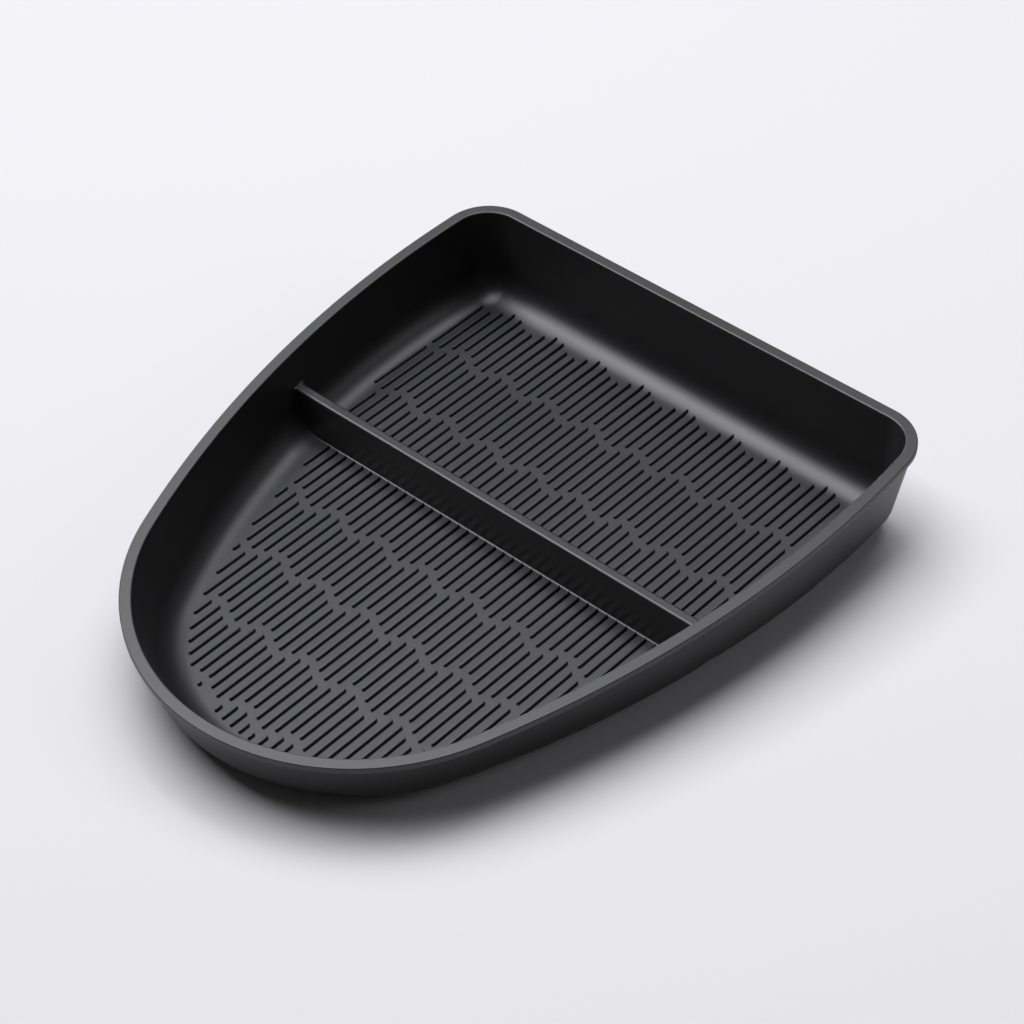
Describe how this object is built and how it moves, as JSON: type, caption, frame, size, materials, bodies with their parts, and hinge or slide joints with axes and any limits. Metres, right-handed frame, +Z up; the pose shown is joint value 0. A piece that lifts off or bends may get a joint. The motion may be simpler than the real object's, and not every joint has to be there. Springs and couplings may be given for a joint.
{
  "type": "coin display tray",
  "caption": "Shield-shaped counter tray for coins and small change, with a sloping rim, ribbed floors and a low divider that parts a rear basin from a front one",
  "frame": {"origin": "on the counter, under the middle of the tray's bounding box", "axes": "+X across the tray to the right, +Y from the rounded nose to the straight back edge, +Z up"},
  "size_m": [0.166, 0.1998, 0.032],
  "materials": {
    "tray_plastic": "satin moulded plastic, black",
    "foot_rubber": "soft black rubber"
  },
  "bodies": {
    "root": {"tray_shell": "tray_plastic", "divider": "tray_plastic", "foot_1": "foot_rubber", "foot_2": "foot_rubber", "foot_3": "foot_rubber", "foot_4": "foot_rubber"}
  },
  "joints": []
}
